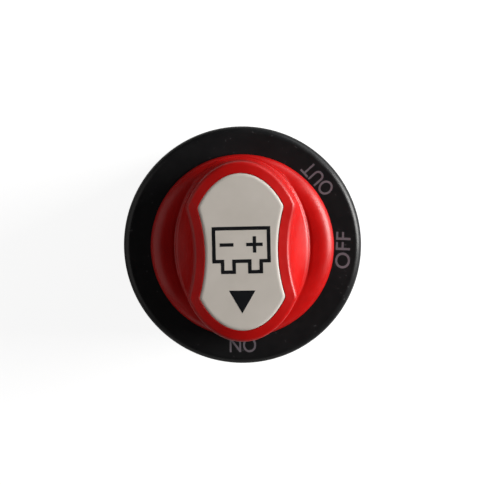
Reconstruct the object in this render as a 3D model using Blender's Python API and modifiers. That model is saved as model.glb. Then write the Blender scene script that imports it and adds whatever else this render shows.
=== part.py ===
"""Rotary battery isolator switch with a key knob, for a boat or vehicle.

Run it with: blender --background --python part.py

All sizes below are millimetres; MM turns them into Blender's metres. The switch lies on its back: the back
face is z = 0, +Z runs along the knob's axis to the front, the two terminal studs lie along X, and the knob's
arrow points to ON along -Y. Turning the knob by +90 degrees about +Z gives OFF, and +135 degrees gives OUT,
where the knob and its shaft lift out along +Z.
"""

import math

import bmesh
import bpy
from mathutils import Matrix, Vector

MM = 0.001
TURN = 2 * math.pi
GAP = 0.3  # air between neighbouring pieces
MERGE = 0.00001  # metres

# Body
BODY_RADIUS = 33.0
BODY_WALL = 2.6
CHAMBER_RADIUS = BODY_RADIUS - BODY_WALL
BACK_THICK = 2.5
HOUSING_BOTTOM = BACK_THICK + GAP
DECK_BOTTOM = 24.5
DECK_TOP = 28.5
HOUSING_TOP = 42.5
COVER_BOTTOM = HOUSING_TOP + GAP
COVER_FLANGE_TOP = 44.7
COVER_TOP = 46.6
COVER_STEP_RADIUS = 31.3
NECK_RADIUS = 11.0
NECK_TOP = 53.0
ROUND = 40  # sides of the large turned pieces
MEDIUM = 24
SMALL = 12

# Bezel ring
BEZEL_RADIUS = 34.5
BEZEL_FACE_RADIUS = 32.6
BEZEL_HOLE_RADIUS = 17.5
BEZEL_THICK = 2.0
BEZEL_BOTTOM = 45.0
FACE = 50.0  # height of the bezel's flat face
BEZEL_SIDES = 48

# Fastening
MOUNT_CIRCLE = 27.0
MOUNT_ANGLES = (45, 135, 225, 315)
MOUNT_HOLE = 2.25
MOUNT_BOSS = 4.4
MOUNT_HEAD = 4.1
COVER_SCREW_CIRCLE = 26.0
COVER_SCREW_ANGLES = (0, 90, 180, 270)
BACK_SCREW_Y = 22.0

# Cable entries: arched openings in the wall
ENTRY_HALF = 9.3
ENTRY_ARCH_Z = 12.0

# Contacts
STUD_X = 14.5
STUD_RADIUS = 4.9
STUD_END = 5.8
NUT_WIDTH = 17.0  # across its flats
NUT_HEIGHT = 8.0
HEAD_BOTTOM = DECK_TOP + 0.15
HEAD_TOP = HEAD_BOTTOM + 3.0
TIP_RADIUS = 3.6
TIP_THICK = 0.8
TIP_GAP = 0.06
BAR_BOTTOM = HEAD_TOP + 2 * TIP_THICK + 3 * TIP_GAP
BAR_THICK = 2.8
BAR_TOP = BAR_BOTTOM + BAR_THICK
BAR_HALF_LENGTH = 21.0
BAR_HALF_WIDTH = 5.8

# Rotor
ROTOR_RADIUS = 19.0
ROTOR_BOTTOM = 39.3
ROTOR_TOP = 42.0
HUB_RADIUS = 9.0
HUB_TOP = 45.2
SPRING_X = 10.2
SPRING_RADIUS = 2.8
SPRING_WIRE = 0.4
DETENT_TURNS = (0, 90, 135)  # ON, OFF and OUT

# Knob
SKIRT_RADIUS = 26.45
SKIRT_BOTTOM = FACE + 0.5
CREST_Z = 53.6  # the skirt's level top
CREST_IN = 5.0  # from the skirt's outside in to where its rounding starts
CREST_FALL = 2.9  # of that rounding
PLINTH = 0.9  # the step from the skirt up to the grip's foot
FOOT_X = 18.7  # half axes of the grip's oval foot
FOOT_Y = 25.0
GRIP_TOP = 74.4
GRIP_ROUNDING = 2.0
RIM_WIDTH = 3.2  # red border around the label plate
PLATE_X = 14.4  # half axes of the ellipse that bounds the label plate's ends
PLATE_Y = 21.6
WAIST_CENTRE = 52.5  # the arcs of the plate's hollow sides
WAIST_RADIUS = 42.5
CORNER_BLEND = 1.2
SCOOP_POWER = 3.2
KNOB_WALL = 2.8
KNOB_SIDES = 48
POCKET_Z = GRIP_TOP - 2.1  # floor of the label plate's pocket
CEILING_Z = GRIP_TOP - 4.8  # of the hollow underside
LABEL_TOP = GRIP_TOP + 0.2
PEG_Y = 15.0  # the label plate's two pegs

# Knob shaft
SHAFT_RADIUS = 6.4
SHAFT_DRIVE = 4.0  # half the width of the square that drives the rotor
SHAFT_KEY = 5.0  # half the width of the square in the knob's boss
SHAFT_BOTTOM = 39.8
SHAFT_FLAT = 4.55
CLIP_Z = 49.5
CLIP_LEG_Y = 5.3
CLIP_WIRE = 0.6
OUT_TURN = 135

parts = bpy.data.collections.new("battery_switch")
cutters = bpy.data.collections.new("cutters")


def material(name, colour, roughness, metallic=0.0):
    """A plain Principled material."""
    made = bpy.data.materials.new(name)
    made.use_nodes = True
    shader = made.node_tree.nodes["Principled BSDF"]
    shader.inputs["Base Color"].default_value = (*colour, 1.0)
    shader.inputs["Roughness"].default_value = roughness
    shader.inputs["Metallic"].default_value = metallic
    made.diffuse_color = (*colour, 1.0)
    return made


def place(obj, name, look):
    """Names an object and files it: with a look it is a part, and without one a cutter."""
    for collection in list(obj.users_collection):
        collection.objects.unlink(obj)
    obj.name = name
    if look is None:
        cutters.objects.link(obj)
        obj.hide_render = True
        obj.display_type = "WIRE"
    else:
        parts.objects.link(obj)
        obj.data.materials.clear()
        obj.data.materials.append(look)
    return obj


def cylinder(name, radius, bottom, top, at=(0.0, 0.0), sides=MEDIUM, look=None):
    """An upright cylinder between two heights."""
    bpy.ops.mesh.primitive_cylinder_add(
        vertices=sides,
        radius=radius * MM,
        depth=(top - bottom) * MM,
        location=(at[0] * MM, at[1] * MM, (bottom + top) / 2 * MM),
    )
    return place(bpy.context.object, name, look)


def box(name, low, high, look=None, turn=0.0):
    """A box between two corners, turned about the Z axis through the frame's origin."""
    low, high = Vector(low) * MM, Vector(high) * MM
    bpy.ops.mesh.primitive_cube_add(size=1.0, location=(0, 0, 0))
    made = bpy.context.object
    made.data.transform(Matrix.Diagonal((*(high - low), 1.0)))
    made.location = Matrix.Rotation(math.radians(turn), 3, "Z") @ ((low + high) / 2)
    made.rotation_euler.z = math.radians(turn)
    return place(made, name, look)


def turned(name, profile, look=None, sides=MEDIUM, at=(0.0, 0.0), ring=False):
    """A profile of (radius, height) points, run down its outer side, turned about Z. A ring's closes."""
    mesh = bpy.data.meshes.new(name)
    ends = [(i, i + 1) for i in range(len(profile) - 1)]
    if ring:
        ends.append((len(profile) - 1, 0))
    mesh.from_pydata([(r * MM, 0.0, z * MM) for r, z in profile], ends, [])
    made = place(bpy.data.objects.new(name, mesh), name, look)
    made.location = (at[0] * MM, at[1] * MM, 0.0)
    screw = made.modifiers.new("turn", "SCREW")
    screw.axis = "Z"
    screw.steps = screw.render_steps = sides
    screw.use_merge_vertices = True
    screw.merge_threshold = MERGE
    return made


def band(name, inner, outer, bottom, top, look=None, sides=ROUND):
    """A flat-sided ring."""
    profile = [(inner, top), (outer, top), (outer, bottom), (inner, bottom)]
    return turned(name, profile, look, sides, ring=True)


def loft(name, rings, look):
    """A closed skin through rings of equal length, with a flat face across the first and the last."""
    mesh = bpy.data.meshes.new(name)
    body = bmesh.new()
    rows = [[body.verts.new(Vector(point) * MM) for point in ring] for ring in rings]
    for below, above in zip(rows, rows[1:]):
        for i in range(len(below)):
            j = (i + 1) % len(below)
            body.faces.new((below[i], below[j], above[j], above[i]))
    body.faces.new(rows[0])
    body.faces.new(rows[-1])
    bmesh.ops.recalc_face_normals(body, faces=body.faces)
    body.to_mesh(mesh)
    body.free()
    mesh.shade_smooth()
    mesh.set_sharp_from_angle(angle=math.radians(35))
    return place(bpy.data.objects.new(name, mesh), name, look)


def wire(name, points, radius, look, resolution=2):
    """A round wire along points."""
    curve = bpy.data.curves.new(name, "CURVE")
    curve.dimensions = "3D"
    curve.bevel_depth = radius * MM
    curve.bevel_resolution = resolution
    curve.use_fill_caps = True
    spline = curve.splines.new("POLY")
    spline.points.add(len(points) - 1)
    for point, place_at in zip(spline.points, points):
        point.co = (*(Vector(place_at) * MM), 1.0)
    return place(bpy.data.objects.new(name, curve), name, look)


def strip(name, path, bottom, top, thick, look):
    """A strip of sheet metal that stands on edge along a path of (x, y) points."""
    mesh = bpy.data.meshes.new(name)
    low = [(x * MM, y * MM, bottom * MM) for x, y in path]
    high = [(x * MM, y * MM, top * MM) for x, y in path]
    count = len(path)
    faces = [(i, i + 1, count + i + 1, count + i) for i in range(count - 1)]
    mesh.from_pydata(low + high, [], faces)
    made = place(bpy.data.objects.new(name, mesh), name, look)
    solid = made.modifiers.new("gauge", "SOLIDIFY")
    solid.thickness = thick * MM
    solid.offset = 0.0
    solid.use_even_offset = True
    return made


def combine(target, operation, others):
    """Runs one Boolean modifier for each other object."""
    for other in others:
        boolean = target.modifiers.new(operation.lower() + "_" + other.name, "BOOLEAN")
        boolean.operation = operation
        boolean.solver = "EXACT"
        boolean.object = other
    return target


def cut(target, *others):
    return combine(target, "DIFFERENCE", others)


def join(target, *others):
    return combine(target, "UNION", others)


def keep_inside(target, *others):
    return combine(target, "INTERSECT", others)


def polar(radius, degrees):
    """The point at a radius and an angle, as (x, y)."""
    angle = math.radians(degrees)
    return radius * math.cos(angle), radius * math.sin(angle)


def arch(name, half, direction, look=None):
    """A prism through the wall in a direction in degrees: a doorway with a round top and an open foot."""
    low, high = (24.0, -half, 1.0), (36.0, half, ENTRY_ARCH_Z)
    door = box(name, low, high, look, turn=direction)
    bpy.ops.mesh.primitive_cylinder_add(vertices=MEDIUM, radius=half * MM, depth=(high[0] - low[0]) * MM)
    crown = place(bpy.context.object, name + "_crown", None)
    x, y = polar((low[0] + high[0]) / 2, direction)
    crown.location = (x * MM, y * MM, ENTRY_ARCH_Z * MM)
    crown.rotation_euler = (0.0, math.pi / 2, math.radians(direction))
    return join(door, crown)


# The grip's plan outline


def smooth_min(a, b, blend):
    """The smaller of two lengths, with the corner between them rounded."""
    near = max(blend - abs(a - b), 0.0) / blend
    return min(a, b) - near * near * blend / 4


def ellipse_radius(angle, half_x, half_y):
    return half_x * half_y / math.hypot(half_y * math.cos(angle), half_x * math.sin(angle))


def outline_radius(angle, offset):
    """The axis's distance to the label plate's outline, moved out by offset: an ellipse with hollow sides."""
    ends = ellipse_radius(angle, PLATE_X + offset, PLATE_Y + offset)
    waist = WAIST_RADIUS - offset
    reach = waist**2 - (WAIST_CENTRE * math.sin(angle)) ** 2
    if reach <= 0:
        return ends
    return smooth_min(ends, WAIST_CENTRE * abs(math.cos(angle)) - math.sqrt(reach), CORNER_BLEND)


def foot_radius(angle):
    """The axis's distance to the grip's oval foot."""
    return ellipse_radius(angle, FOOT_X, FOOT_Y)


def skirt_height(radius):
    """The skirt's top: level inside, with a broad elliptical rounding towards its outside."""
    share = max(0.0, radius - SKIRT_RADIUS + CREST_IN) / CREST_IN
    return CREST_Z - CREST_FALL * (1 - math.sqrt(max(0.0, 1 - share * share)))


def skirt_ring(share):
    """A ring on the skirt's top, a share of the way from the grip's foot to the skirt's outside."""

    def radius(angle):
        start = foot_radius(angle) + 0.1
        return start + (SKIRT_RADIUS - start) * share

    return ring_of(radius, lambda angle: skirt_height(radius(angle)))


def foot_height(angle):
    """The height of the grip's foot, a step above the skirt."""
    return skirt_height(foot_radius(angle)) + PLINTH


def wall_radius(angle, rise):
    """The grip's side wall, from its foot at rise 0 to its rounded rim at rise 1: scooped at the waist."""
    head = outline_radius(angle, RIM_WIDTH)
    power = 1 + (SCOOP_POWER - 1) * math.cos(angle) ** 2
    return head + (foot_radius(angle) - head) * (1 - rise) ** power


def wall_ring(share, top, shoulder, inset):
    """A ring on the side wall, a share of the way from its foot to a top height, set in from its outside."""
    ring = []
    for i in range(KNOB_SIDES):
        angle = TURN * i / KNOB_SIDES
        foot = foot_height(angle)
        height = foot + (top - foot) * share
        radius = wall_radius(angle, (height - foot) / (shoulder - foot)) - inset
        ring.append((radius * math.cos(angle), radius * math.sin(angle), height))
    return ring


def ring_of(radius_at, height_at, sides=KNOB_SIDES):
    """A ring of points from a radius and a height, each a number or a function of the angle."""
    ring = []
    for i in range(sides):
        angle = TURN * i / sides
        radius = radius_at(angle) if callable(radius_at) else radius_at
        height = height_at(angle) if callable(height_at) else height_at
        ring.append((radius * math.cos(angle), radius * math.sin(angle), height))
    return ring


# Fixed parts


def make_back_cover(look):
    cover = cylinder("back_cover", BODY_RADIUS, 0.0, BACK_THICK, sides=ROUND, look=look)
    rim = band("back_rim", 28.6, 30.0, BACK_THICK - 0.6, 5.0)
    gaps = [box(f"back_rim_gap_{a}", (20, -11.4, 2.6), (34, 11.4, 8), turn=a) for a in COVER_SCREW_ANGLES]
    cut(rim, *gaps)
    for angle in MOUNT_ANGLES:
        at = polar(MOUNT_CIRCLE, angle)
        cut(rim, cylinder(f"back_rim_relief_{angle}", MOUNT_BOSS + GAP, 2.6, 8, at, SMALL))
    join(cover, rim)
    for angle in MOUNT_ANGLES:
        hole = cylinder(f"back_mount_hole_{angle}", MOUNT_HOLE, -2, 4, polar(MOUNT_CIRCLE, angle), SMALL)
        cut(cover, hole)
    for side in (-1, 1):
        profile = [(0, 4), (1.7, 4), (1.7, 1.8), (3.3, 0.15), (3.3, -1), (0, -1)]
        cut(cover, turned(f"back_screw_seat_{side}", profile, sides=SMALL, at=(0, side * BACK_SCREW_Y)))
    return cover


def make_housing(look):
    """The base moulding: a terminal chamber below the deck and a contact chamber above it."""
    profile = [(0, HOUSING_TOP), (BODY_RADIUS - 0.6, HOUSING_TOP), (BODY_RADIUS, HOUSING_TOP - 0.6)]
    profile += [(BODY_RADIUS, HOUSING_BOTTOM + 0.6), (BODY_RADIUS - 0.6, HOUSING_BOTTOM), (0, HOUSING_BOTTOM)]
    housing = turned("housing", profile, look, ROUND)
    terminal_chamber = cylinder("terminal_chamber", CHAMBER_RADIUS, 1, DECK_BOTTOM, sides=ROUND)
    contact_chamber = cylinder("contact_chamber", CHAMBER_RADIUS, DECK_TOP, 44, sides=ROUND)
    bosses = [
        cylinder(f"mount_boss_{a}", MOUNT_BOSS, HOUSING_BOTTOM, 44, polar(MOUNT_CIRCLE, a), SMALL)
        for a in MOUNT_ANGLES
    ]
    cut(terminal_chamber, *bosses)
    barrier = box("barrier", (-1.1, -BACK_SCREW_Y, 5.6), (1.1, BACK_SCREW_Y, DECK_BOTTOM + 1))
    cut(terminal_chamber, barrier)
    for side in (-1, 1):
        post = cylinder(f"back_screw_boss_{side}", 3.1, 5.6, DECK_BOTTOM + 1, (0, side * BACK_SCREW_Y), SMALL)
        cut(terminal_chamber, post)
    cut(contact_chamber, *bosses)
    for angle in COVER_SCREW_ANGLES:
        at = polar(COVER_SCREW_CIRCLE + 1, angle)
        cut(contact_chamber, cylinder(f"cover_boss_{angle}", 4.0, DECK_TOP - 1, 45, at, SMALL))
    cut(contact_chamber, cylinder("pivot_boss", 5.2, DECK_TOP - 1, 32.0, sides=SMALL))
    for side in (-1, 1):
        for front in (-1, 1):
            xs = sorted((side * 13.2, side * 15.2))
            ys = sorted((front * 21.9, front * 31.0))
            post = box(f"detent_post_{side}_{front}", (xs[0], ys[0], DECK_TOP - 1), (xs[1], ys[1], 45))
            cut(contact_chamber, post)
    cut(housing, terminal_chamber, contact_chamber)
    cut(housing, cylinder("pivot_hole", 3.3, 28.7, 34, sides=SMALL))
    cut(housing, band("gasket_groove", 31.0, 32.1, 41.6, 44))
    for direction in COVER_SCREW_ANGLES:
        cut(housing, arch(f"cable_entry_{direction}", ENTRY_HALF, direction))
        at = polar(COVER_SCREW_CIRCLE, direction)
        cut(housing, cylinder(f"cover_screw_hole_{direction}", 1.6, 31, 44, at, SMALL))
    for angle in MOUNT_ANGLES:
        cut(housing, cylinder(f"mount_hole_{angle}", MOUNT_HOLE, 1, 45, polar(MOUNT_CIRCLE, angle), SMALL))
    for side in (-1, 1):
        cut(housing, cylinder(f"stud_hole_{side}", STUD_RADIUS + GAP, 23, 30, (side * STUD_X, 0), MEDIUM))
        cut(housing, cylinder(f"back_screw_hole_{side}", 1.6, 3, 16, (0, side * BACK_SCREW_Y), SMALL))
    return housing


def make_top_cover(look):
    """The lid of the contact chamber, with the neck that guides the knob's shaft."""
    step, neck_bore, hub_bore = COVER_STEP_RADIUS, SHAFT_RADIUS + 0.4, HUB_RADIUS + GAP
    profile = [(neck_bore, NECK_TOP), (NECK_RADIUS - 0.6, NECK_TOP), (NECK_RADIUS, NECK_TOP - 0.6)]
    profile += [(NECK_RADIUS, COVER_TOP), (step, COVER_TOP), (step - 0.3, 45.7), (step, 45.2)]
    profile += [(step, COVER_FLANGE_TOP), (BODY_RADIUS, COVER_FLANGE_TOP), (BODY_RADIUS, COVER_BOTTOM)]
    profile += [(hub_bore, COVER_BOTTOM), (hub_bore, 45.5), (neck_bore, 45.5)]
    cover = turned("top_cover", profile, look, ROUND, ring=True)
    for angle in MOUNT_ANGLES:
        at = polar(MOUNT_CIRCLE, angle)
        cut(cover, cylinder(f"cover_mount_hole_{angle}", MOUNT_HOLE, 41, 48, at, SMALL))
        cut(cover, cylinder(f"cover_mount_seat_{angle}", MOUNT_HEAD, COVER_FLANGE_TOP - 0.2, 48, at, SMALL))
    for angle in COVER_SCREW_ANGLES:
        at = polar(COVER_SCREW_CIRCLE, angle)
        cut(cover, cylinder(f"cover_hole_{angle}", 1.7, 41, 48, at, SMALL))
        cut(cover, cylinder(f"cover_seat_{angle}", 3.2, COVER_FLANGE_TOP - 0.2, 48, at, SMALL))
    for side in (-1, 1):
        ys = sorted((side * (CLIP_LEG_Y - 0.8), side * (CLIP_LEG_Y + 0.8)))
        cut(cover, box(f"clip_slot_{side}", (-14, ys[0], CLIP_Z - 0.8), (14, ys[1], CLIP_Z + 0.8)))
    return cover


def make_bezel(look):
    """The snap-on face ring that carries the ON, OFF and OUT marks."""
    wall, bottom, ceiling = COVER_STEP_RADIUS + GAP, BEZEL_BOTTOM, FACE - BEZEL_THICK
    lip, lip_bottom = BEZEL_HOLE_RADIUS + 1.6, ceiling - 1.1
    profile = [(BEZEL_HOLE_RADIUS, FACE), (BEZEL_FACE_RADIUS, FACE)]
    profile += [(BEZEL_RADIUS - 0.2, FACE - 1.9), (BEZEL_RADIUS, FACE - 2.5)]
    profile += [(BEZEL_RADIUS, bottom), (wall, bottom), (wall - 0.3, bottom + 0.7), (wall, bottom + 1.1)]
    profile += [(wall, ceiling), (lip, ceiling), (lip, lip_bottom), (BEZEL_HOLE_RADIUS, lip_bottom)]
    return turned("bezel_ring", profile, look, BEZEL_SIDES, ring=True)


def make_cover_gasket(look):
    return band("cover_gasket", 31.2, 31.9, 41.75, 42.7, look)


def cross_recess(name, at, width, top, depth):
    """Two crossed bars that cut a Phillips-like recess."""
    x, y = at
    bars = []
    for i, (half_x, half_y) in enumerate(((width, 0.4), (0.4, width))):
        low = (x - half_x, y - half_y, top - depth)
        high = (x + half_x, y + half_y, top + 1)
        bars.append(box(f"{name}_recess_{i}", low, high))
    return bars


def make_screw(name, at, head_bottom, head_radius, head_height, shank_radius, tip, look):
    """A pan-head screw that points down, with a cross recess."""
    top = head_bottom + head_height
    profile = [(0, top), (head_radius * 0.7, top), (head_radius, head_bottom + head_height * 0.5)]
    profile += [(head_radius, head_bottom), (shank_radius, head_bottom), (shank_radius, tip + 1), (0, tip)]
    screw = turned(name, profile, look, SMALL, at)
    return cut(screw, *cross_recess(name, at, head_radius * 0.55, top, head_height * 0.6))


def make_back_screw(name, at, look):
    """A countersunk screw that points up into the housing."""
    profile = [(0, 13), (1.4, 12), (1.4, 1.75), (2.9, 0.2), (0, 0.2)]
    screw = turned(name, profile, look, SMALL, at)
    x, y = at
    bars = [box(f"{name}_bar_x", (x - 1.6, y - 0.4, -1), (x + 1.6, y + 0.4, 1.0))]
    bars.append(box(f"{name}_bar_y", (x - 0.4, y - 1.6, -1), (x + 0.4, y + 1.6, 1.0)))
    return cut(screw, *bars)


def make_stud(name, x, look):
    """A terminal stud: a flat contact head in the contact chamber and an M10 shank below the deck."""
    half_x, half_y = 7.2, 8.0
    stud = box(name, (x - half_x, -half_y, HEAD_BOTTOM), (x + half_x, half_y, HEAD_TOP), look)
    edges = stud.modifiers.new("edges", "BEVEL")
    edges.width = 1.0 * MM
    edges.segments = 2
    edges.limit_method = "ANGLE"
    profile = [(0, HEAD_TOP - 0.8), (STUD_RADIUS, HEAD_TOP - 0.8), (STUD_RADIUS, STUD_END + 1.2)]
    profile += [(STUD_RADIUS - 1.2, STUD_END), (0, STUD_END)]
    return join(stud, turned(name + "_shank", profile, sides=MEDIUM, at=(x, 0)))


def make_terminal_fasteners(side, x, plated, steel):
    """Flat washer, split washer and nut, screwed up against the underside of the deck."""
    washer_top = DECK_BOTTOM - 0.1
    flat = cylinder(f"flat_washer_{side}", 10.0, washer_top - 2.0, washer_top, (x, 0), MEDIUM, plated)
    cut(flat, cylinder(f"flat_washer_bore_{side}", STUD_RADIUS + 0.3, 20, 26, (x, 0), MEDIUM))
    split_top = washer_top - 2.1
    split = cylinder(f"lock_washer_{side}", 8.4, split_top - 2.2, split_top, (x, 0), MEDIUM, steel)
    cut(split, cylinder(f"lock_washer_bore_{side}", STUD_RADIUS + 0.3, 18, 26, (x, 0), MEDIUM))
    cut(split, box(f"lock_washer_slit_{side}", (x - 0.7, -12, 18), (x + 0.7, -3, 26)))
    nut_top = split_top - 2.3
    nut_bottom, corner = nut_top - NUT_HEIGHT, NUT_WIDTH / math.sqrt(3)
    profile = [(0, nut_top), (corner - 0.7, nut_top), (corner, nut_top - 0.6), (corner, nut_bottom + 0.6)]
    profile += [(corner - 0.7, nut_bottom), (0, nut_bottom)]
    nut = turned(f"nut_{side}", profile, plated, 6, (x, 0))
    cut(nut, cylinder(f"nut_bore_{side}", STUD_RADIUS + 0.2, 8, 24, (x, 0), MEDIUM))


def make_entry_blank(name, direction, look):
    """The snap-in plate that closes an unused cable entry."""
    bottom, inner = HOUSING_BOTTOM + GAP, CHAMBER_RADIUS - 1.5
    plate = band(name, inner, BODY_RADIUS - 0.1, bottom, DECK_BOTTOM - 0.4, look)
    keep_inside(plate, arch(name + "_door", ENTRY_HALF - GAP, direction))
    flange = band(name + "_flange", inner, CHAMBER_RADIUS - GAP, bottom, DECK_BOTTOM - 0.4)
    keep_inside(flange, arch(name + "_flange_door", ENTRY_HALF + 1.6, direction))
    return join(plate, flange)


def make_detent_spring(name, front, look):
    """A bowed leaf spring whose middle sits in the rotor's notch."""
    half = [(0.0, 17.9), (1.2, 18.6), (2.9, 20.15), (7.0, 20.8), (11.4, 21.3), (12.6, 22.2), (12.8, 24.0)]
    path = [(-x, front * y) for x, y in reversed(half[1:])] + [(x, front * y) for x, y in half]
    return strip(name, path, ROTOR_BOTTOM + 0.2, ROTOR_TOP - 0.2, 0.4, look)


def make_retaining_clip(look):
    """A hairpin of spring wire through the neck. Its legs sit in the groove of the knob's shaft."""
    bend, cross_x, steps = 2.2, 13.0, 5
    points = [(-11.6, CLIP_LEG_Y, CLIP_Z), (0.0, CLIP_LEG_Y, CLIP_Z)]
    for side in (1, -1):
        centre_x, centre_y = cross_x - bend, side * (CLIP_LEG_Y - bend)
        for i in range(steps + 1):
            share = i / steps if side > 0 else 1 - i / steps
            angle = math.pi / 2 * (1 - share)
            x = centre_x + bend * math.cos(angle)
            y = centre_y + side * bend * math.sin(angle)
            points.append((x, y, CLIP_Z))
    points += [(0.0, -CLIP_LEG_Y, CLIP_Z), (-11.6, -CLIP_LEG_Y, CLIP_Z)]
    return wire("retaining_clip", points, CLIP_WIRE, look)


# Parts that turn with the rotor


def make_rotor(look):
    """The carrier that the knob's shaft turns: plate, hub, pivot pin and the lugs that hold the bar."""
    rotor = cylinder("rotor", ROTOR_RADIUS, ROTOR_BOTTOM, ROTOR_TOP, sides=ROUND, look=look)
    join(rotor, cylinder("rotor_hub", HUB_RADIUS, ROTOR_TOP - 1, HUB_TOP))
    join(rotor, cylinder("rotor_core", 5.5, BAR_TOP + 0.3, ROTOR_BOTTOM + 1))
    join(rotor, cylinder("rotor_pin", 3.0, 29.0, BAR_TOP + 1, sides=SMALL))
    for side in (-1, 1):
        for front in (-1, 1):
            xs = sorted((side * 7.0, side * 13.0))
            ys = sorted((front * (BAR_HALF_WIDTH + 0.3), front * 8.4))
            lug = box(f"rotor_lug_{side}_{front}", (xs[0], ys[0], 33.7), (xs[1], ys[1], ROTOR_BOTTOM + 1))
            join(rotor, lug)
    for side in (-1, 1):
        cut(rotor, cylinder(f"spring_pocket_{side}", 3.6, 38, 40.8, (side * SPRING_X, 0), SMALL))
    for centre in (90, 270):
        for turn in DETENT_TURNS:
            at = polar(ROTOR_RADIUS + 0.9, centre - turn)
            cut(rotor, cylinder(f"notch_{centre}_{turn}", 2.4, 38, 44, at, SMALL))
    socket = SHAFT_DRIVE + 0.2
    cut(rotor, box("drive_socket", (-socket, -socket, 39.6), (socket, socket, 47), turn=-OUT_TURN))
    return rotor


def make_contact_bridge(look):
    """The copper bar that joins the two studs at ON."""
    half, width = BAR_HALF_LENGTH, BAR_HALF_WIDTH
    bar = box("contact_bridge", (-half, -width, BAR_BOTTOM), (half, width, BAR_TOP), look)
    corners = bar.modifiers.new("corners", "BEVEL")
    corners.width = 0.8 * MM
    corners.segments = 2
    corners.limit_method = "ANGLE"
    return cut(bar, cylinder("bar_hole", 3.4, BAR_BOTTOM - 2, BAR_TOP + 2, sides=SMALL))


def make_contact_spring(name, x, look):
    """A coil spring between the bar and its pocket in the rotor."""
    low, high, turns, per_turn = BAR_TOP + SPRING_WIRE + 0.1, 40.8 - SPRING_WIRE - 0.1, 3.5, 10
    count = round(turns * per_turn)
    points = []
    for i in range(count + 1):
        angle = TURN * i / per_turn
        px, py = SPRING_RADIUS * math.cos(angle), SPRING_RADIUS * math.sin(angle)
        points.append((x + px, py, low + (high - low) * i / count))
    return wire(name, points, SPRING_WIRE, look, resolution=1)


# Parts that lift off with the knob


def make_knob(look):
    """The red key knob: a rounded skirt, an oval grip with two thumb scoops, and a hollow underside."""
    shoulder = GRIP_TOP - GRIP_ROUNDING
    rounding, rises, inner_rises = 3, 5, 3
    rings = [ring_of(lambda a: outline_radius(a, 0.15), z) for z in (POCKET_Z, GRIP_TOP)]
    for i in range(rounding + 1):
        bend = math.pi / 2 * i / rounding
        offset = RIM_WIDTH - GRIP_ROUNDING * (1 - math.sin(bend))
        height = shoulder + GRIP_ROUNDING * math.cos(bend)
        rings.append(ring_of(lambda a, d=offset: outline_radius(a, d), height))
    for i in range(1, rises + 1):
        rings.append(wall_ring(1 - i / rises, shoulder, shoulder, 0.0))
    rings += [skirt_ring(share) for share in (0, 0.35, 0.65, 0.85, 0.96, 1)]
    rings.append(ring_of(SKIRT_RADIUS, SKIRT_BOTTOM))
    rings.append(ring_of(lambda a: foot_radius(a) - KNOB_WALL, SKIRT_BOTTOM))
    for i in range(inner_rises + 1):
        rings.append(wall_ring(i / inner_rises, CEILING_Z, shoulder, KNOB_WALL))
    knob = loft("knob", rings, look)
    join(knob, cylinder("knob_boss", 8.6, 55.2, CEILING_Z + 1))
    for front in (-1, 1):
        ys = sorted((front * 7.5, front * 23.2))
        join(knob, box(f"knob_rib_{front}", (-0.9, ys[0], 60.0), (0.9, ys[1], CEILING_Z + 1)))
    socket = SHAFT_KEY + 0.2
    cut(knob, box("key_socket", (-socket, -socket, 54), (socket, socket, 66.7), turn=-OUT_TURN))
    cut(knob, cylinder("knob_screw_hole", 2.2, 60, 74, sides=SMALL))
    cut(knob, cylinder("knob_screw_seat", 4.1, 70.2, 74, sides=SMALL))
    for front in (-1, 1):
        cut(knob, cylinder(f"label_peg_hole_{front}", 1.5, 70.4, 74, (0, front * PEG_Y), SMALL))
    return knob


def make_label_plate(look):
    """The pale plate set in the grip, with two pegs that locate it."""
    rings = [ring_of(lambda a: outline_radius(a, -0.1), POCKET_Z + 0.15)]
    rings.append(ring_of(lambda a: outline_radius(a, -0.1), LABEL_TOP - 0.45))
    rings.append(ring_of(lambda a: outline_radius(a, -0.24), LABEL_TOP - 0.13))
    rings.append(ring_of(lambda a: outline_radius(a, -0.6), LABEL_TOP))
    plate = loft("label_plate", rings, look)
    for front in (-1, 1):
        join(plate, cylinder(f"label_peg_{front}", 1.3, 70.6, POCKET_Z + 1, (0, front * PEG_Y), SMALL))
    return plate


def make_knob_shaft(look):
    """The key shaft: the knob's square, a seal groove, the clip groove, and the rotor's square."""
    groove, seal = 4.55, 5.2
    clip_low, clip_high = CLIP_Z - 0.85, CLIP_Z + 0.85
    profile = [(0, 55.0), (8.2, 55.0), (8.2, 53.5), (SHAFT_RADIUS, 53.5), (SHAFT_RADIUS, 52.5), (seal, 52.5)]
    profile += [(seal, 51.1), (SHAFT_RADIUS, 51.1), (SHAFT_RADIUS, clip_high), (groove, clip_high)]
    profile += [(groove, clip_low), (SHAFT_RADIUS, clip_low), (SHAFT_RADIUS, 45.9), (0, 45.9)]
    shaft = turned("knob_shaft", profile, look, MEDIUM)
    for side in (-1, 1):
        ys = sorted((side * SHAFT_FLAT, side * 9.0))
        cut(shaft, box(f"shaft_flat_{side}", (-9, ys[0], 44), (9, ys[1], clip_low + 0.5), turn=-OUT_TURN))
    drive = SHAFT_DRIVE
    join(shaft, box("drive_square", (-drive, -drive, SHAFT_BOTTOM), (drive, drive, 47), turn=-OUT_TURN))
    key = SHAFT_KEY
    join(shaft, box("key_square", (-key, -key, 54), (key, key, 66.5), turn=-OUT_TURN))
    return cut(shaft, cylinder("shaft_bore", 2.1, 57, 68, sides=SMALL))


def make_shaft_o_ring(look):
    bpy.ops.mesh.primitive_torus_add(
        major_radius=6.0 * MM,
        minor_radius=0.65 * MM,
        major_segments=20,
        minor_segments=5,
        location=(0, 0, 51.8 * MM),
    )
    return place(bpy.context.object, "shaft_o_ring", look)


def pivot(name, parent=None):
    """An empty on the knob's axis, which its parts follow."""
    empty = bpy.data.objects.new(name, None)
    empty.parent = parent
    bpy.context.scene.collection.objects.link(empty)
    return empty


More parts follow.
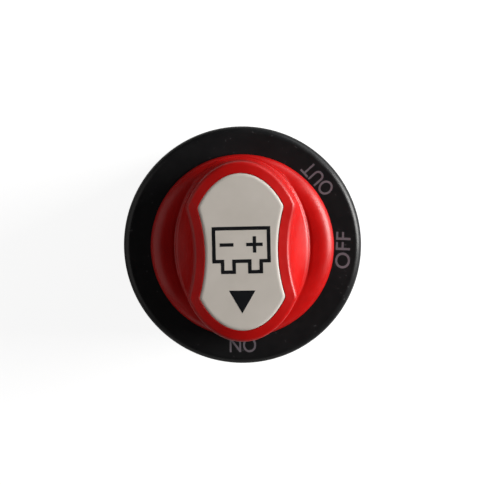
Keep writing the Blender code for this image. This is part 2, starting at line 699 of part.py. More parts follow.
def main():
    for obj in list(bpy.data.objects):
        bpy.data.objects.remove(obj)
    bpy.context.scene.collection.children.link(parts)
    bpy.context.scene.collection.children.link(cutters)

    black = material("black_plastic", (0.012, 0.012, 0.013), 0.42)
    red = material("red_plastic", (0.55, 0.012, 0.008), 0.34)
    ivory = material("ivory_plastic", (0.62, 0.58, 0.52), 0.38)
    nylon = material("natural_nylon", (0.62, 0.60, 0.52), 0.5)
    shaft_black = material("shaft_nylon", (0.03, 0.03, 0.032), 0.5)
    copper = material("copper", (0.72, 0.30, 0.16), 0.3, 1.0)
    tinned = material("tinned_copper", (0.72, 0.70, 0.66), 0.3, 1.0)
    silver = material("silver_contact", (0.85, 0.84, 0.80), 0.22, 1.0)
    steel = material("zinc_steel", (0.62, 0.63, 0.65), 0.32, 1.0)
    spring_steel = material("spring_steel", (0.50, 0.50, 0.52), 0.28, 1.0)
    rubber = material("black_rubber", (0.02, 0.02, 0.02), 0.8)

    make_back_cover(black)
    for i, side in enumerate((-1, 1), 1):
        make_back_screw(f"back_cover_screw_{i}", (0, side * BACK_SCREW_Y), steel)
    make_housing(black)
    make_cover_gasket(rubber)
    make_top_cover(black)
    for i, angle in enumerate(COVER_SCREW_ANGLES, 1):
        at = polar(COVER_SCREW_CIRCLE, angle)
        make_screw(f"cover_screw_{i}", at, COVER_FLANGE_TOP, 2.8, 2.0, 1.4, 34.0, steel)
    make_bezel(black)
    for side, x in (("battery", -STUD_X), ("load", STUD_X)):
        make_stud(f"stud_{side}", x, tinned)
        make_terminal_fasteners(side, x, tinned, spring_steel)
        low = HEAD_TOP + TIP_GAP
        cylinder(f"fixed_contact_{side}", TIP_RADIUS, low, low + TIP_THICK, (x, 0), SMALL, silver)
    make_entry_blank("entry_blank_front", -90, black)
    make_entry_blank("entry_blank_rear", 90, black)
    make_detent_spring("detent_spring_front", -1, spring_steel)
    make_detent_spring("detent_spring_rear", 1, spring_steel)
    make_retaining_clip(spring_steel)

    rotor_axis = pivot("rotor_axis")
    turning = [make_rotor(nylon), make_contact_bridge(copper)]
    low = ROTOR_TOP + 0.1
    turning.append(band("thrust_washer", HUB_RADIUS + GAP, 15.0, low, low + 0.6, ivory, MEDIUM))
    for i, side in enumerate((-1, 1), 1):
        turning.append(make_contact_spring(f"contact_spring_{i}", side * SPRING_X, spring_steel))
        low, at = BAR_BOTTOM - TIP_GAP - TIP_THICK, (side * STUD_X, 0)
        turning.append(cylinder(f"moving_contact_{i}", TIP_RADIUS, low, low + TIP_THICK, at, SMALL, silver))
    for obj in turning:
        obj.parent = rotor_axis

    knob_axis = pivot("knob_axis", rotor_axis)
    lifting = [make_knob(red), make_label_plate(ivory)]
    lifting += [make_knob_shaft(shaft_black), make_shaft_o_ring(rubber)]
    lifting.append(make_screw("shaft_screw", (0, 0), 70.35, 3.7, 1.6, 1.9, 58.0, steel))
    for obj in lifting:
        obj.parent = knob_axis


main()
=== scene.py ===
"""Looks of the battery switch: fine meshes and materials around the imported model.

Lengths are millimetres until MM turns them into metres. Heights and radii come from the frame's boxes
where a node gives them, and otherwise from the driving dimensions below. At rest the knob points to ON,
along -Y.
"""

import functools
import math

import bmesh
import bpy
from mathutils import Matrix, Vector


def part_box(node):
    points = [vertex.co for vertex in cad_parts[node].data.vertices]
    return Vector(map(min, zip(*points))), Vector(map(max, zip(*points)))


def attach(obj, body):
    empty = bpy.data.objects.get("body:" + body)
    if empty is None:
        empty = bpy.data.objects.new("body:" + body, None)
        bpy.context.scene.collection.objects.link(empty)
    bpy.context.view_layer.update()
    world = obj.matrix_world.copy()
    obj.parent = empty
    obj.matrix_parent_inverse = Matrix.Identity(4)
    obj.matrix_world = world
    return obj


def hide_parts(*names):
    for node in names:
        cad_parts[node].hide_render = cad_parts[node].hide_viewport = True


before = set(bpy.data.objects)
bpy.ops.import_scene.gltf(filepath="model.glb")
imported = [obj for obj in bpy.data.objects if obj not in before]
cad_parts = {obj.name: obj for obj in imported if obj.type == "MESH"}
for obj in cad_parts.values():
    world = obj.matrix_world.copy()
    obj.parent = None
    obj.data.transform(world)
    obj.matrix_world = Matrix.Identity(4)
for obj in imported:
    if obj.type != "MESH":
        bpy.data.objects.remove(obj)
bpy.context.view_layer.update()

MM = 0.001
TURN = 2 * math.pi
GAP = 0.3  # air between neighbouring pieces
FINE = 192  # sides of the large round pieces
MIDDLE = 96
SMALL = 48
KNOB_SIDES = 288
SCREW_SIDES = 32


# Reading the frame


@functools.cache
def low(node):
    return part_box(node)[0] / MM


@functools.cache
def high(node):
    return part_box(node)[1] / MM


def centre(node):
    return (low(node) + high(node)) / 2


def extent(node):
    """The heights of a node's underside and top, and its reach along +X."""
    return low(node).z, high(node).z, high(node).x


# Driving dimensions that the boxes don't give

WALL = 2.6  # of the housing
SCREW_ANGLES = (0, 90, 180, 270)  # the lid's screws, and the cable entries
SCREW_CIRCLE = 26.0
MOUNT_ANGLES = (45, 135, 225, 315)
MOUNT_CIRCLE = 27.0
MOUNT_HOLE = 2.25
MOUNT_BOSS = 4.4
BACK_SCREW_Y = 22.0
ENTRY_HALF = 9.3  # half the width of a cable entry
ENTRY_FOOT = 1.0
ENTRY_CROWN = 12.0  # height where its round top starts
ENTRY_INSIDE = 24  # radii between which an entry is cut, to both sides of the wall
ENTRY_OUTSIDE = 36
STUD_X = 14.5
STUD_RADIUS = 4.9
STEP_RADIUS = 31.3  # the lid's step, on which the bezel snaps
THREAD_CORE = 0.78  # a screw's core, as a share of its outer radius
BEZEL_FACE_RADIUS = 32.85  # where the ring's face starts to fall away
BEZEL_HOLE_RADIUS = 17.5
NECK_RADIUS = 11.0
SHAFT_RADIUS = 6.4
WASHER_WIDTH = 5.7  # of the thrust washer
OUT_TURN = 135
RIM_WIDTH = 3.2  # the red border around the label plate
PLATE_X = 14.4  # half axes of the ellipse that bounds the label plate's ends
PLATE_Y = 21.6
WAIST_CENTRE = 52.5  # the arcs of the plate's hollow sides
WAIST_RADIUS = 42.5
FOOT_X = 18.7  # half axes of the grip's oval foot
FOOT_Y = 25.0
SCOOP_POWER = 3.2
PLINTH = 0.9  # the step from the skirt up to the grip's foot
KNOB_WALL = 2.8


# Materials


class Look:
    """Builds a node material around one Principled shader, in object space and real scale."""

    def __init__(self, name, colour, roughness, metallic=0.0):
        self.name = name
        self.material = bpy.data.materials.new(name)
        self.material.use_nodes = True
        self.tree = self.material.node_tree
        self.shader = self.tree.nodes["Principled BSDF"]
        self.surface({"Base Color": (*colour, 1), "Roughness": roughness, "Metallic": metallic})
        self.place = self.add("ShaderNodeTexCoord").outputs["Object"]
        self.normal = None

    def feed(self, node, inputs):
        """Sets a node's inputs, or links them where the value is another node's output."""
        for key, value in inputs.items():
            if isinstance(value, bpy.types.NodeSocket):
                self.tree.links.new(value, node.inputs[key])
            else:
                node.inputs[key].default_value = value

    def surface(self, inputs):
        self.feed(self.shader, inputs)

    def add(self, kind, inputs=None, **values):
        node = self.tree.nodes.new(kind)
        for key, value in values.items():
            setattr(node, key, value)
        self.feed(node, inputs or {})
        return node

    def noise(self, size_mm, detail=2.0, rough=0.5, stretch=(1, 1, 1)):
        """Noise whose blobs are about size_mm across. Its value is 0 to 1."""
        scale = Vector(stretch) / (size_mm * MM)
        place = self.add("ShaderNodeMapping", {"Vector": self.place, "Scale": scale}).outputs[0]
        inputs = {"Vector": place, "Scale": 1.0, "Detail": detail, "Roughness": rough}
        return self.add("ShaderNodeTexNoise", inputs).outputs["Fac"]

    def span(self, value, *limits):
        """Maps value from one range, the first two limits, to another, the last two, clamped."""
        inputs = dict(zip(("From Min", "From Max", "To Min", "To Max"), limits))
        return self.add("ShaderNodeMapRange", {"Value": value, **inputs}).outputs["Result"]

    def blend(self, value, first, second):
        """A colour that runs with value from first to second."""
        inputs = {"Factor": value, "A": first, "B": second}
        return self.add("ShaderNodeMix", inputs, data_type="RGBA").outputs["Result"]

    def bump(self, output, depth_mm):
        """Adds surface relief of a depth, over the relief that is there already."""
        inputs = {"Strength": 1.0, "Distance": depth_mm * MM, "Height": output}
        if self.normal is not None:
            inputs["Normal"] = self.normal
        self.normal = self.add("ShaderNodeBump", inputs).outputs["Normal"]
        self.surface({"Normal": self.normal})


def moulded(name, dark, light, rough_low, rough_high, grain_mm, grain_depth, specks=None, shine=0.5):
    """Moulded plastic: slow colour drift, a fine grain, flow unevenness and, if named, dust specks."""
    look = Look(name, light, rough_high)
    drift = look.span(look.noise(9.0, 3.0), 0.3, 0.7, 0, 1)
    colour = look.blend(drift, (*dark, 1), (*light, 1))
    if specks is not None:
        dust = look.span(look.noise(1.1, 1.0, 0.3), 0.745, 0.79, 0, 0.5)
        colour = look.blend(dust, colour, (*specks, 1))
    flow = look.span(look.noise(2.2, 4.0, 0.6), 0.3, 0.7, rough_low, rough_high)
    look.surface({"Base Color": colour, "Roughness": flow, "Specular IOR Level": shine})
    look.bump(look.noise(grain_mm, 2.0), grain_depth)
    look.bump(look.noise(6.0, 1.0), 0.012)
    return look


def metal(name, dark, light, rough_low, rough_high, stretch=(1, 1, 1)):
    """Worked metal: tarnish clouds and fine tool marks drawn out along a direction."""
    look = Look(name, light, rough_high, 1.0)
    clouds = look.span(look.noise(2.4, 4.0), 0.3, 0.72, 0, 1)
    wear = look.span(look.noise(0.8, 4.0, 0.6), 0.3, 0.7, rough_low, rough_high)
    look.surface({"Base Color": look.blend(clouds, (*dark, 1), (*light, 1)), "Roughness": wear})
    look.bump(look.noise(0.25, 2.0, 0.5, stretch), 0.004)
    return look


def make_looks():
    """One look for each kind of surface, by a short name."""
    dust = (0.07, 0.07, 0.075)
    return {
        "black": moulded("black_plastic", (0.0055, 0.0055, 0.006), (0.0085, 0.0085, 0.0092), 0.29, 0.4,
                         0.16, 0.006, dust, 0.35),
        "body": moulded("textured_black", (0.014, 0.014, 0.015), (0.021, 0.021, 0.022), 0.42, 0.56,
                        0.28, 0.02, dust),
        "red": moulded("red_plastic", (0.42, 0.003, 0.0025), (0.51, 0.005, 0.004), 0.28, 0.38,
                       0.22, 0.005, shine=0.36),
        "ivory": moulded("ivory_plastic", (0.60, 0.555, 0.50), (0.66, 0.61, 0.555), 0.36, 0.48,
                         0.2, 0.004),
        "nylon": moulded("natural_nylon", (0.55, 0.50, 0.40), (0.66, 0.62, 0.52), 0.45, 0.6, 0.3, 0.006),
        "shaft": moulded("shaft_nylon", (0.02, 0.02, 0.021), (0.04, 0.04, 0.042), 0.42, 0.58, 0.2, 0.008),
        "rubber": moulded("black_rubber", (0.012, 0.012, 0.012), (0.022, 0.022, 0.022), 0.7, 0.9,
                          0.25, 0.01),
        "copper": metal("copper", (0.62, 0.22, 0.11), (0.83, 0.38, 0.22), 0.22, 0.4, (1, 8, 8)),
        "tin": metal("tinned_copper", (0.60, 0.57, 0.51), (0.78, 0.76, 0.71), 0.24, 0.42),
        "silver": metal("silver_contact", (0.72, 0.70, 0.66), (0.9, 0.89, 0.86), 0.16, 0.3),
        "zinc": metal("zinc_steel", (0.48, 0.50, 0.52), (0.70, 0.72, 0.74), 0.26, 0.44),
        "spring": metal("spring_steel", (0.34, 0.34, 0.35), (0.56, 0.56, 0.57), 0.22, 0.4, (1, 1, 10)),
        "ring_ink": moulded("ring_print", (0.105, 0.09, 0.105), (0.14, 0.122, 0.14), 0.5, 0.62,
                            0.12, 0.003),
        "plate_ink": moulded("plate_print", (0.004, 0.0045, 0.006), (0.008, 0.0085, 0.010), 0.42, 0.55,
                             0.12, 0.003, shine=0.2),
    }


FINISHES = make_looks()
LOOKS = {key: look.material for key, look in FINISHES.items()}
SLOTS = {key: look.name for key, look in FINISHES.items()}
SLOTS.update(body="black_plastic", ring_ink="ivory_plastic", plate_ink="black_plastic")


# Mesh building


def new_object(name, data):
    made = bpy.data.objects.new(name, data)
    bpy.context.scene.collection.objects.link(made)
    return made


def evaluated_mesh(made):
    bpy.context.view_layer.update()
    return bpy.data.meshes.new_from_object(made.evaluated_get(bpy.context.evaluated_depsgraph_get()))


def settle(made):
    """Applies an object's modifiers to its mesh."""
    made.data = evaluated_mesh(made)
    made.modifiers.clear()


def finished(name, body):
    """An object of a bmesh, which is freed."""
    mesh = bpy.data.meshes.new(name)
    body.to_mesh(mesh)
    body.free()
    return new_object(name, mesh)


def shade(made, degrees=32):
    """Smooth shading with sharp edges past an angle, and with flat faces that look flat."""
    made.data.shade_smooth()
    made.data.set_sharp_from_angle(angle=math.radians(degrees))
    weight = made.modifiers.new("flats", "WEIGHTED_NORMAL")
    weight.keep_sharp = True
    settle(made)


def piece(made, body, look, *nodes):
    """Files a finished mesh: its look, the body that it rides on and the CAD nodes that it stands for."""
    shade(made)
    made.data.materials.clear()
    made.data.materials.append(LOOKS[look])
    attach(made, body)
    if nodes:
        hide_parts(*nodes)
    return made


def polar(radius, degrees):
    angle = math.radians(degrees)
    return radius * math.cos(angle), radius * math.sin(angle)


def skin(name, rings, closed_ends=True, around=False):
    """A skin through rings of equal length. around joins the last ring to the first."""
    body = bmesh.new()
    rows = [[body.verts.new(Vector(point) * MM) for point in ring] for ring in rings]
    pairs = list(zip(rows, rows[1:]))
    if around:
        pairs.append((rows[-1], rows[0]))
    for below, above in pairs:
        for i in range(len(below)):
            j = (i + 1) % len(below)
            body.faces.new((below[i], below[j], above[j], above[i]))
    if closed_ends and not around:
        body.faces.new(rows[0])
        body.faces.new(rows[-1])
    bmesh.ops.recalc_face_normals(body, faces=body.faces)
    return finished(name, body)


def circle(radius, height, sides, at=(0.0, 0.0)):
    points = []
    for i in range(sides):
        angle = TURN * i / sides
        points.append((at[0] + radius * math.cos(angle), at[1] + radius * math.sin(angle), height))
    return points


def rounded(profile, steps=4):
    """Rounds a closed profile's corners: (r, z, reach) over that reach, while (r, z) stays sharp."""
    result = []
    for i, corner in enumerate(profile):
        here = Vector(corner[:2])
        if len(corner) < 3:
            result.append(tuple(here))
            continue
        before = Vector(profile[i - 1][:2]) - here
        after = Vector(profile[(i + 1) % len(profile)][:2]) - here
        reach = min(corner[2], before.length * 0.48, after.length * 0.48)
        start, end = here + before.normalized() * reach, here + after.normalized() * reach
        for k in range(steps + 1):
            t = k / steps
            result.append(tuple(start * (1 - t) ** 2 + here * 2 * t * (1 - t) + end * t * t))
    return result


def turned(name, profile, sides, at=(0.0, 0.0), ring=True):
    """A turned piece from a profile of (radius, height) corners. A ring's profile closes on itself."""
    rings = [circle(r, z, sides, at) for r, z in rounded(profile)]
    return skin(name, rings, closed_ends=not ring, around=ring)


def rod(name, radius, bottom, top, sides=SMALL, at=(0.0, 0.0), edge=0.0):
    """A round bar with rounded ends."""
    inner = radius * 0.5
    profile = [(inner, top), (radius, top, edge), (radius, bottom, edge), (inner, bottom)]
    return turned(name, profile, sides, at, ring=False)


def rods(radius, bottom, top, reach, angles, edge=0.0):
    """Round bars on a circle, as tools for joining and cutting."""
    return [rod("rod", radius, bottom, top, at=polar(reach, angle), edge=edge) for angle in angles]


def band(name, inner, outer, bottom, top, sides=FINE, at=(0.0, 0.0), edge=0.1):
    """A ring of rectangular section with rounded edges."""
    profile = [(inner, top, edge), (outer, top, edge), (outer, bottom, edge), (inner, bottom, edge)]
    return turned(name, profile, sides, at)


def block(name, low_corner, high_corner, edge=0.0, turn=0.0):
    """A box with rounded edges between two corners, turned about the Z axis."""
    low_corner, high_corner = Vector(low_corner) * MM, Vector(high_corner) * MM
    body = bmesh.new()
    bmesh.ops.create_cube(body, size=1.0)
    bmesh.ops.scale(body, vec=high_corner - low_corner, verts=body.verts)
    bmesh.ops.translate(body, vec=(low_corner + high_corner) / 2, verts=body.verts)
    if edge:
        bmesh.ops.bevel(body, geom=body.edges[:], offset=edge * MM, segments=4, profile=0.5, affect="EDGES")
    spin = Matrix.Rotation(math.radians(turn), 3, "Z")
    bmesh.ops.rotate(body, cent=(0, 0, 0), matrix=spin, verts=body.verts)
    return finished(name, body)


def mirrored_blocks(near, far, edge=0.0, sides=(-1, 1)):
    """Blocks whose corners are given for +X and +Y, mirrored to the sides and to the front."""
    blocks = []
    for side in sides:
        for front in (-1, 1):
            xs, ys = sorted((side * near[0], side * far[0])), sorted((front * near[1], front * far[1]))
            blocks.append(block("block", (xs[0], ys[0], near[2]), (xs[1], ys[1], far[2]), edge))
    return blocks


def doorway(name, half, start, direction):
    """A prism out through the wall from a radius: the shape of a cable entry, with a round top."""
    outline = [(-half, ENTRY_FOOT), (half, ENTRY_FOOT)]
    for i in range(SMALL + 1):
        angle = math.pi * i / SMALL
        outline.append((half * math.cos(angle), ENTRY_CROWN + half * math.sin(angle)))
    spin = Matrix.Rotation(math.radians(direction), 3, "Z")
    ends = [[tuple(spin @ Vector((x, y, z))) for y, z in outline] for x in (start, ENTRY_OUTSIDE)]
    return skin(name, ends)


def carve(operation, target, *others):
    """Joins, cuts or keeps the common part of closed meshes, one after the other."""
    for other in others:
        step = target.modifiers.new(operation, "BOOLEAN")
        step.operation = operation
        step.solver = "MANIFOLD"
        step.object = other
        settle(target)
        bpy.data.objects.remove(other)
    return target


cut = functools.partial(carve, "DIFFERENCE")
join = functools.partial(carve, "UNION")


def thread(name, core, crest, pitch, bottom, top, sides, at=(0.0, 0.0), tip=0.0):
    """A rod with a screw thread that fades out at both ends. tip narrows its lower end to a point."""
    rows_per_turn = 8
    rows = math.ceil((top - bottom) / pitch * rows_per_turn)
    rings = []
    for row in range(rows + 1):
        z = top - (top - bottom) * row / rows
        fade = max(0.0, min(1.0, (top - z) / pitch, (z - bottom) / pitch))
        narrow = 1.0 if not tip else min(1.0, 0.12 + 0.88 * (z - bottom) / tip)
        ring = []
        for i in range(sides):
            phase = (z / pitch - i / sides) % 1.0
            ridge = min(1.0, 1.35 * (1 - abs(2 * phase - 1)))
            radius = (core + (crest - core) * ridge * fade) * narrow
            angle = TURN * i / sides
            ring.append((at[0] + radius * math.cos(angle), at[1] + radius * math.sin(angle), z))
        rings.append(ring)
    return skin(name, rings)


def add_path(curve, points, closed=False):
    """Adds straight runs between points to a curve."""
    spline = curve.splines.new("POLY")
    spline.points.add(len(points) - 1)
    spline.use_cyclic_u = closed
    for point, where in zip(spline.points, points):
        point.co = (*(Vector(where).to_3d() * MM), 1.0)


def wire(name, points, radius, resolution=5):
    """A round wire along points, as a mesh with closed ends."""
    curve = bpy.data.curves.new(name, "CURVE")
    curve.dimensions = "3D"
    curve.bevel_depth = radius * MM
    curve.bevel_resolution = resolution
    curve.use_fill_caps = True
    add_path(curve, points)
    return as_mesh(name, curve)


def as_mesh(name, curve):
    """Turns a curve into a welded mesh object."""
    carrier = new_object(name + "_curve", curve)
    mesh = evaluated_mesh(carrier)
    bpy.data.objects.remove(carrier)
    body = bmesh.new()
    body.from_mesh(mesh)
    bmesh.ops.remove_doubles(body, verts=body.verts, dist=0.001 * MM)
    bmesh.ops.recalc_face_normals(body, faces=body.faces)
    body.to_mesh(mesh)
    body.free()
    return new_object(name, mesh)


# The grip's plan outline, as in the CAD


def smooth_min(a, b, blend):
    """The smaller of two lengths, with the corner between them rounded."""
    near = max(blend - abs(a - b), 0.0) / blend
    return min(a, b) - near * near * blend / 4


def ellipse_radius(angle, half_x, half_y):
    return half_x * half_y / math.hypot(half_y * math.cos(angle), half_x * math.sin(angle))


def outline_radius(angle, offset):
    """From the axis to the label plate's outline, moved out by offset: an ellipse with hollow sides."""
    ends = ellipse_radius(angle, PLATE_X + offset, PLATE_Y + offset)
    waist = WAIST_RADIUS - offset
    reach = waist**2 - (WAIST_CENTRE * math.sin(angle)) ** 2
    if reach <= 0:
        return ends
    blend = 0.6 + 0.2 * max(offset, 0.0)
    return smooth_min(ends, WAIST_CENTRE * abs(math.cos(angle)) - math.sqrt(reach), blend)


def foot_radius(angle):
    return ellipse_radius(angle, FOOT_X, FOOT_Y)


def loop_at(radius_at, height_at):
    """A ring of points around the knob. Radius and height are numbers or functions of the angle."""
    ring = []
    for i in range(KNOB_SIDES):
        angle = TURN * i / KNOB_SIDES
        radius = radius_at(angle) if callable(radius_at) else radius_at
        height = height_at(angle) if callable(height_at) else height_at
        ring.append((radius * math.cos(angle), radius * math.sin(angle), height))
    return ring


def outline_loop(offset, height):
    return loop_at(lambda angle: outline_radius(angle, offset), height)


# The knob


CREST_DROP = 20.8  # from the knob's top down to the skirt's level top
CREST_IN = 4.2  # from the skirt's outside in to its broad crest
CREST_FALL = 2.9  # from there to the outside
DISH_BEND = 0.03  # fall inside the crest, per square millimetre
RIM_TILT = math.radians(13)  # of the grip's rim, which falls away from the label plate
RIM_EDGE = 1.0  # width of the rounding at the rim's outer edge
RIM_EDGE_FALL = 1.25
SHOULDER = (RIM_WIDTH - RIM_EDGE) * math.tan(RIM_TILT) + RIM_EDGE_FALL  # the rim's whole fall
POCKET = 2.1  # depth of the label plate's pocket
POCKET_EDGE = 0.1  # chamfer at the pocket's mouth
STEP_REACH = 0.95  # from the grip's foot out to the skirt
PEG_Y = 15.0  # the label plate's two pegs
CEILING = 4.8  # from the knob's top down to the hollow's ceiling


def skirt_height(radius):
    """The skirt's top: a faint dish inside its crest, and an elliptical rounding outside it."""
    crest, out = high("knob").z - CREST_DROP, radius - high("knob").x + CREST_IN
    if out < 0:
        return crest - DISH_BEND * out * out
    return crest - CREST_FALL * (1 - math.sqrt(max(0.0, 1 - (out / CREST_IN) ** 2)))


def dish_height(angle):
    """The height where the skirt meets the grip's foot."""
    return skirt_height(foot_radius(angle))


def wall_radius(angle, rise):
    """The grip's side wall, from its foot at rise 0 to its rim at rise 1: scooped at the waist."""
    head = outline_radius(angle, RIM_WIDTH)
    power = 1 + (SCOOP_POWER - 1) * math.cos(angle) ** 2
    return head + (foot_radius(angle) - head) * (1 - rise) ** power


def rim_rings(top):
    """From the pocket's floor up its wall, over the tilted rim and round its outer edge."""
    rings, steps = [outline_loop(0.0, top - POCKET)], 12
    rings += [outline_loop(0.0, top - POCKET_EDGE), outline_loop(POCKET_EDGE, top)]
    for i in range(steps + 1):
        bend = RIM_TILT + (math.pi / 2 - RIM_TILT) * i / steps
        share = (math.sin(bend) - math.sin(RIM_TILT)) / (1 - math.sin(RIM_TILT))
        rise = RIM_EDGE_FALL * math.cos(bend) / math.cos(RIM_TILT)
        rings.append(outline_loop(RIM_WIDTH - RIM_EDGE * (1 - share), top - SHOULDER + rise))
    return rings


def grip_rings(top):
    """Down the scooped wall and the small step at its foot."""
    shoulder, rises, rings = top - SHOULDER, 26, []
    for i in range(1, rises + 1):
        rise = (1 - i / rises) ** 1.25 * 0.985 + 0.015

        def height(angle):
            foot = dish_height(angle) + PLINTH
            return foot + (shoulder - foot) * rise

        rings.append(loop_at(lambda angle: wall_radius(angle, rise), height))
    step = ((0.05, -0.04), (0.2, 0.03), (0.33, 0.14), (0.41, 0.32))
    step += ((0.44, 0.52), (0.5, 0.72), (0.68, 0.86), (STEP_REACH, PLINTH))
    for reach, drop in step:
        rings.append(loop_at(lambda angle: foot_radius(angle) + reach,
                             lambda angle: dish_height(angle) + PLINTH - drop))
    return rings


def skirt_rings(skirt, bottom):
    """Across the skirt's rounded top and down its outer edge to its underside."""
    rings, steps = [], 24
    for i in range(1, steps + 1):
        share = math.sin(math.pi / 2 * i / steps)

        def radius(angle):
            start = foot_radius(angle) + STEP_REACH
            return start + (skirt - start) * share

        rings.append(loop_at(radius, lambda angle: skirt_height(radius(angle))))
    rings.append(loop_at(skirt - 0.06, bottom + 0.06))
    rings.append(loop_at(skirt - 0.25, bottom))
    return rings


def hollow_rings(top, bottom):
    """The underside and the walls of the hollow, up to its ceiling."""
    rings = [loop_at(lambda angle: foot_radius(angle) - 2.6, bottom)]
    rings.append(loop_at(lambda angle: foot_radius(angle) - KNOB_WALL, bottom + 0.2))
    start, ceiling, shoulder, steps = bottom + 2.0, top - CEILING, top - SHOULDER, 8
    for i in range(1, steps + 1):
        height = start + (ceiling - start) * i / steps

        def radius(angle):
            foot = dish_height(angle) + PLINTH
            rise = max(0.0, min(1.0, (height - foot) / (shoulder - foot)))
            return wall_radius(angle, rise) - KNOB_WALL

        rings.append(loop_at(radius, height))
    return rings


def make_knob():
    """The red knob, with the boss for its shaft, two ribs and the label's peg holes."""
    bottom, top, skirt = extent("knob")
    rings = rim_rings(top) + grip_rings(top) + skirt_rings(skirt, bottom) + hollow_rings(top, bottom)
    knob = skin("red_knob", rings)
    ceiling, shaft_top, half = top - CEILING + 0.5, high("knob_shaft").z, 5.2
    boss_foot = shaft_top - 11.3
    join(knob, rod("knob_boss", 8.6, boss_foot, ceiling, MIDDLE, edge=0.3))
    join(knob, *mirrored_blocks((-0.9, 7.5, boss_foot + 4.8), (0.9, 23.2, ceiling), sides=(1,)))  # ribs
    for front in (-1, 1):
        cut(knob, rod("peg_hole", 1.5, top - 3.8, top, at=(0, front * PEG_Y)))
    cut(knob, block("key_socket", (-half, -half, 54), (half, half, shaft_top + 0.2), turn=-OUT_TURN))
    cut(knob, rod("screw_hole", 2.2, 60, top), rod("screw_seat", 4.1, top - 4, top))
    return piece(knob, "knob", "red", "knob")


def make_label():
    """The pale plate with a softly rounded edge, on two pegs."""
    top, bottom = high("label_plate").z - 0.02, high("knob").z - 1.95
    reach, fall, inset, steps = 1.0, 0.42, 0.05, 12
    rings = [outline_loop(-inset - 0.15, bottom), outline_loop(-inset, bottom + 0.15)]
    for i in range(steps + 1):
        bend = math.pi / 2 * i / steps
        inward = inset + reach * (1 - math.cos(bend))
        rings.append(outline_loop(-inward, top - fall * (1 - math.sin(bend))))
    plate = skin("pale_label_plate", rings)
    for front in (-1, 1):
        at = (0, front * PEG_Y)
        join(plate, rod("label_peg", 1.3, low("label_plate").z, bottom + 0.5, at=at, edge=0.3))
    return piece(plate, "knob", "ivory", "label_plate")


# Printed marks, as thin raised slabs


def bar(x0, y0, x1, y1):
    return [(x0, y0), (x1, y0), (x1, y1), (x0, y1)]


def case_outline(inset):
    """The battery pictogram's case with its two posts, drawn in from the outside by inset."""
    half, top, base, post = 7.98, 7.05, -2.9, -5.85
    outline = [(-half + inset, top - inset), (-half + inset, base + inset)]
    for left, right in ((-5.70, -1.58), (1.72, 5.82)):
        outline += [(left + inset, base + inset), (left + inset, post + inset)]
        outline += [(right - inset, post + inset), (right - inset, base + inset)]
    return outline + [(half - inset, base + inset), (half - inset, top - inset)]


def make_plate_print():
    """The pictogram of a battery with its minus and plus, and the arrow to the knob's position."""
    top, depth, stroke, reach = high("label_plate").z, 0.05, 0.47, 2.25
    signs_y, plus_x, case_stroke = 2.1, 3.6, 0.98
    minus = bar(-5.9, signs_y - stroke, -2.1, signs_y + stroke)
    corner = ((-reach, -stroke), (-stroke, -stroke), (-stroke, -reach))
    plus = []
    for quarter in range(4):
        for x, y in corner:
            for _ in range(quarter):
                x, y = -y, x
            plus.append((plus_x + x, signs_y + y))
    arrow = [(-3.62, -10.42), (3.62, -10.5), (-0.1, -16.75)]
    outlines = [case_outline(0.0), case_outline(case_stroke), minus, plus, arrow]
    curve = bpy.data.curves.new("label_print", "CURVE")
    curve.dimensions = "2D"
    curve.fill_mode = "BOTH"
    curve.extrude = depth / 2 * MM
    for outline in outlines:
        add_path(curve, outline, closed=True)
    made = as_mesh("label_print", curve)
    made.data.transform(Matrix.Translation((0, 0, (top - depth / 2) * MM)))
    return piece(made, "knob", "plate_ink")


def make_ring_mark(text, length, angle, radius, turn):
    """A word in a plain sans face, scaled to a length and to the marks' height, on the ring's face."""
    height, depth = 4.3, 0.04
    name = "mark_" + text.lower()
    curve = bpy.data.curves.new(name, "FONT")
    curve.body = text
    curve.resolution_u = 8
    curve.extrude = 0.5
    curve.offset = 0.006
    made = as_mesh(name, curve)
    xs = [v.co.x for v in made.data.vertices]
    ys = [v.co.y for v in made.data.vertices]
    size = (length / (max(xs) - min(xs)) * MM, height / (max(ys) - min(ys)) * MM, depth * MM, 1)
    x, y = polar(radius, angle)
    for move in (
        Matrix.Translation((-(max(xs) + min(xs)) / 2, -(max(ys) + min(ys)) / 2, 0)),
        Matrix.Diagonal(size),
        Matrix.Rotation(math.radians(turn), 4, "Z"),
        Matrix.Translation((x * MM, y * MM, high("bezel_ring").z * MM)),
    ):
        made.data.transform(move)
    return piece(made, "base", "ring_ink")


def make_ring_marks():
    """The knob's three positions."""
    make_ring_mark("ON", 7.7, -90.9, 28.9, 179.5)
    make_ring_mark("OFF", 10.6, -3.7, 29.1, 87)
    make_ring_mark("OUT", 10.6, 40.5, 29.1, 131)


# The fixed parts


def make_bezel():
    """The black face ring with a sloped rim and a snap bead inside."""
    bottom, top, outer = extent("bezel_ring")
    wall, hole, under, lip = STEP_RADIUS + GAP, BEZEL_HOLE_RADIUS, top - 2.0, bottom + 1.9
    profile = [(hole, top, 0.4), (BEZEL_FACE_RADIUS, top, 0.4), (outer - 1.0, top - 0.3, 0.8)]
    profile += [(outer - 0.4, top - 0.85, 0.8), (outer, top - 1.9, 0.6), (outer, bottom, 0.3)]
    profile += [(wall, bottom, 0.25), (wall - 0.3, bottom + 0.7, 0.2), (wall, bottom + 1.1, 0.2)]
    profile += [(wall, under, 0.4), (hole + 1.6, under, 0.3), (hole + 1.6, lip, 0.2), (hole, lip, 0.2)]
    return piece(turned("black_bezel_ring", profile, FINE), "base", "black", "bezel_ring")


